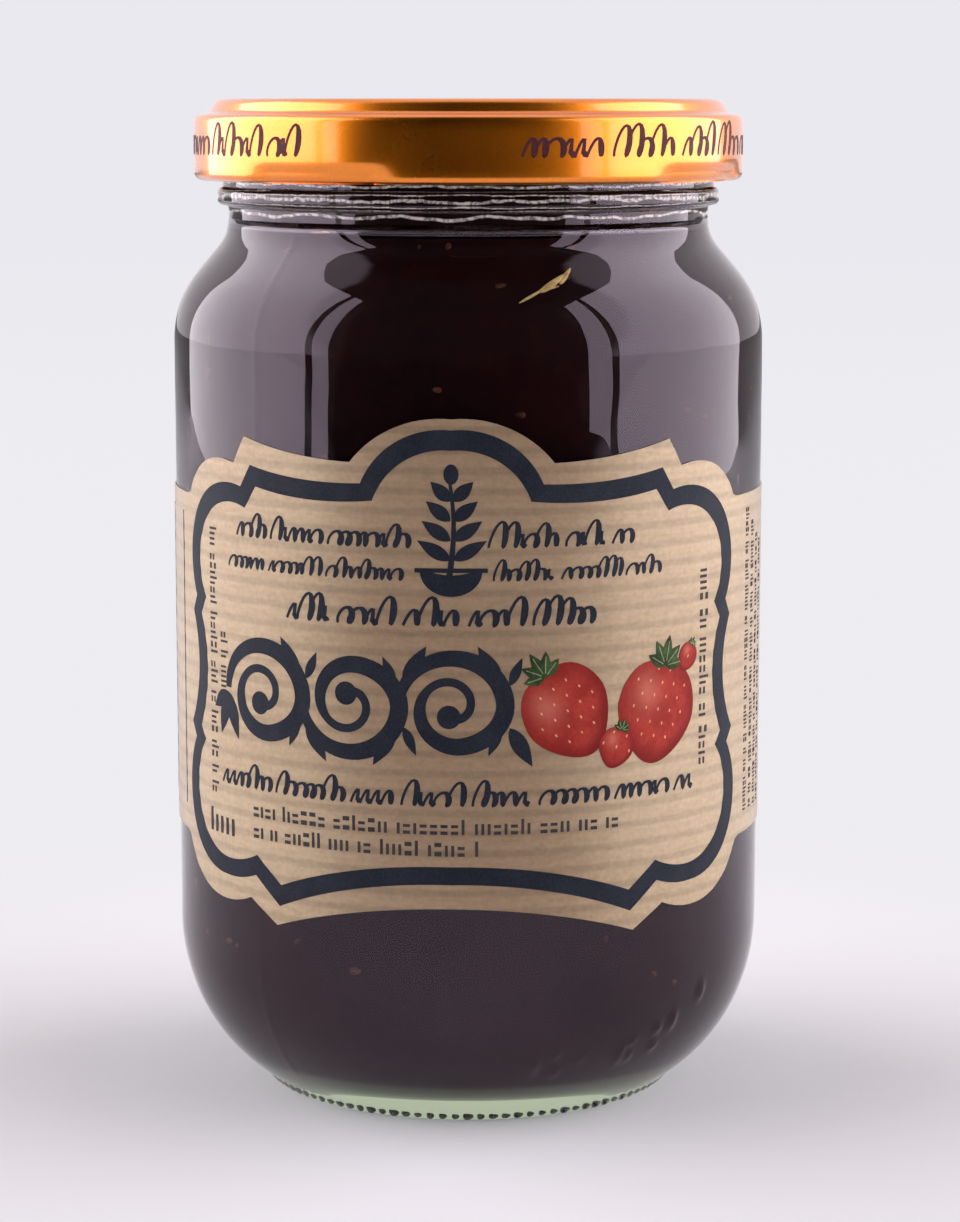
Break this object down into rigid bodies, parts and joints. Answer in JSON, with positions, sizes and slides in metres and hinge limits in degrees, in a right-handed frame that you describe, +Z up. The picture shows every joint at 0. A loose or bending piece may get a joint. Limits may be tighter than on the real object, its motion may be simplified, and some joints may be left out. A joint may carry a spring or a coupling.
{
  "type": "jam jar",
  "caption": "Filled glass jam jar with a round-shouldered body, dark fruit jam inside, a pressed metal twist-off lid and a wrap-round kraft paper label.",
  "frame": {"origin": "on the jar's axis, on the surface that it stands on", "axes": "+Z up along the jar's axis; the middle of the label faces -Y, a little towards -X"},
  "size_m": [0.071, 0.0708, 0.1186],
  "materials": {
    "glass": "clear, faintly green",
    "jam": "wet, nearly black red",
    "lid": "gloss orange-gold lacquer",
    "label": "ribbed kraft paper",
    "ink": "dark blue print"
  },
  "bodies": {
    "root": {"glass": "glass", "jam": "jam", "lid": "lid", "label": "label"}
  },
  "joints": []
}
